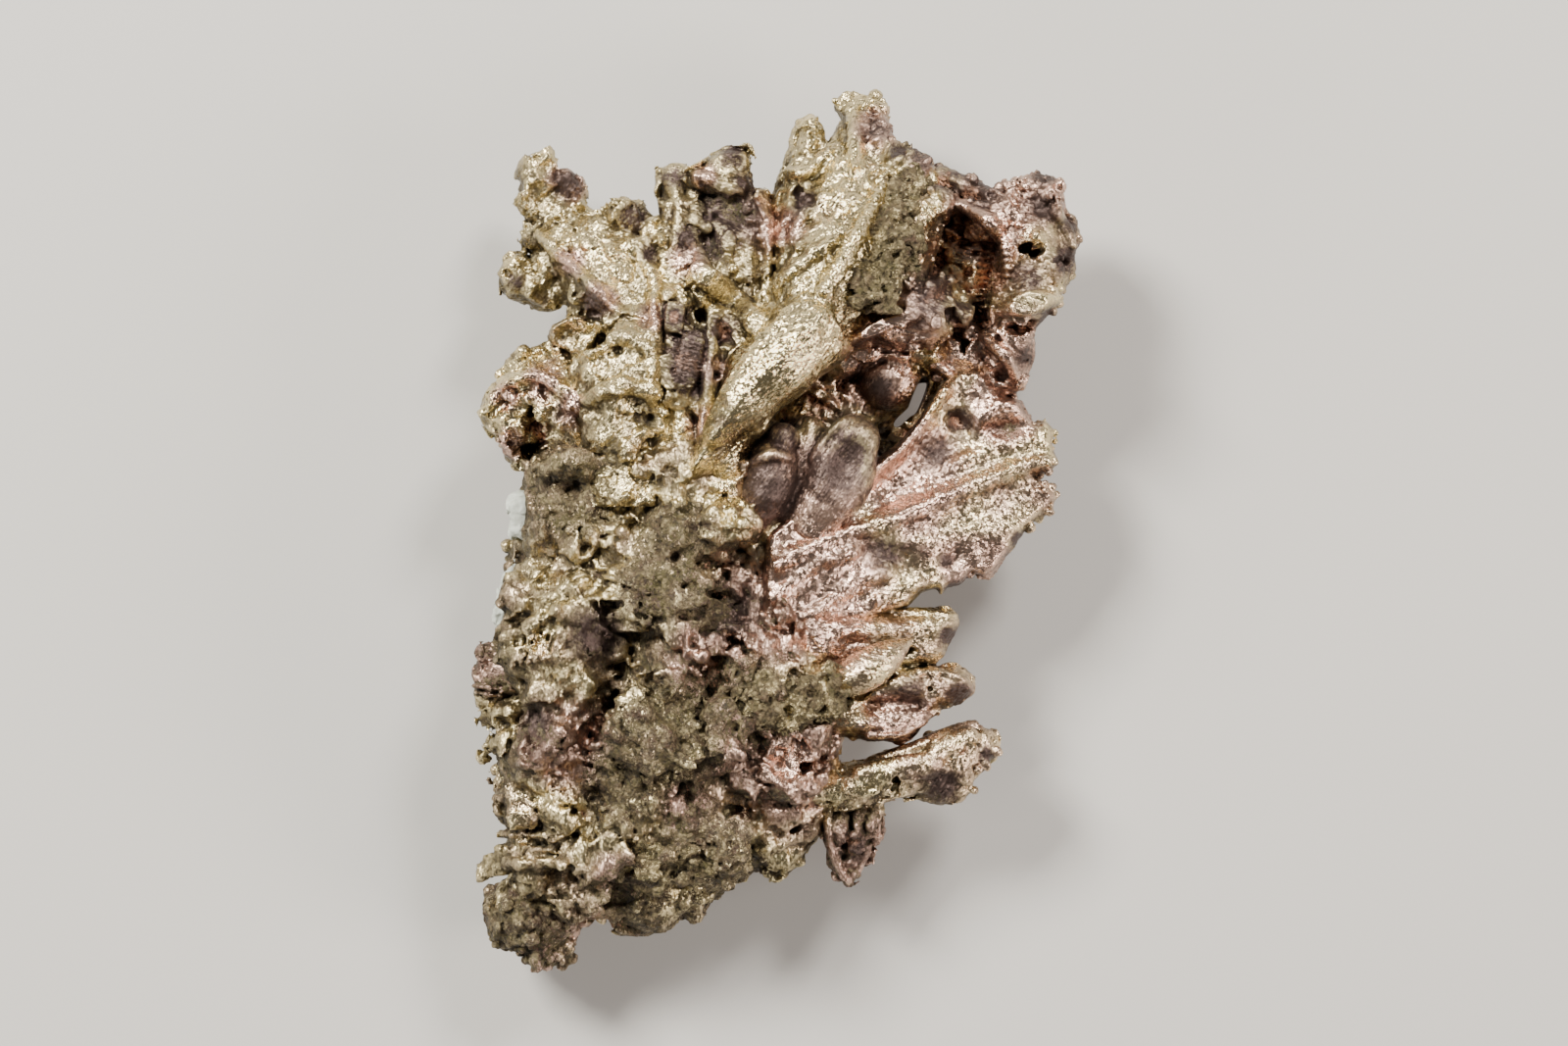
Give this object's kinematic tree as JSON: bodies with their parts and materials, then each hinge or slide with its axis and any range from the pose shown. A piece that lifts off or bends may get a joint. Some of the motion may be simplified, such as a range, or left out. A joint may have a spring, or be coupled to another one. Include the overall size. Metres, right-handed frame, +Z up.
{
  "type": "native silver specimen",
  "caption": "Branching hand specimen of native silver lying on its back: a crusted lower mass with blades, lobes, a hollowed crown and a fern-shaped plate spreading from it.",
  "frame": {"origin": "the middle of the specimen's outline, on the surface that it rests on", "axes": "+X across the face to the right, +Y along its length to the highest peak, +Z up out of the face"},
  "size_m": [0.0432, 0.0626, 0.0194],
  "materials": {
    "bright_silver": "rough native silver with a pale champagne tarnish and bright worn crests",
    "rosy_silver": "rough native silver with a rose to purple-grey tarnish and coppery brown hollows",
    "crusted_silver": "native silver mostly under a matt olive-brown earthy film",
    "calcite": "pale chalky calcite",
    "earthy_crust": "matt grainy olive-brown crust"
  },
  "bodies": {
    "root": {"trunk": "crusted_silver", "base_block": "crusted_silver", "left_stub": "crusted_silver", "left_lobe": "bright_silver", "upper_left_branch": "bright_silver", "middle_blades": "bright_silver", "main_spine": "bright_silver", "right_crown": "rosy_silver", "curled_lobes": "rosy_silver", "fern_plate": "rosy_silver", "leaf_cluster": "rosy_silver", "finger": "rosy_silver", "foot": "crusted_silver", "calcite_chip": "calcite", "calcite_rind": "calcite", "crust_spine": "earthy_crust", "crust_ledge": "earthy_crust", "crust_side": "earthy_crust"}
  },
  "joints": []
}
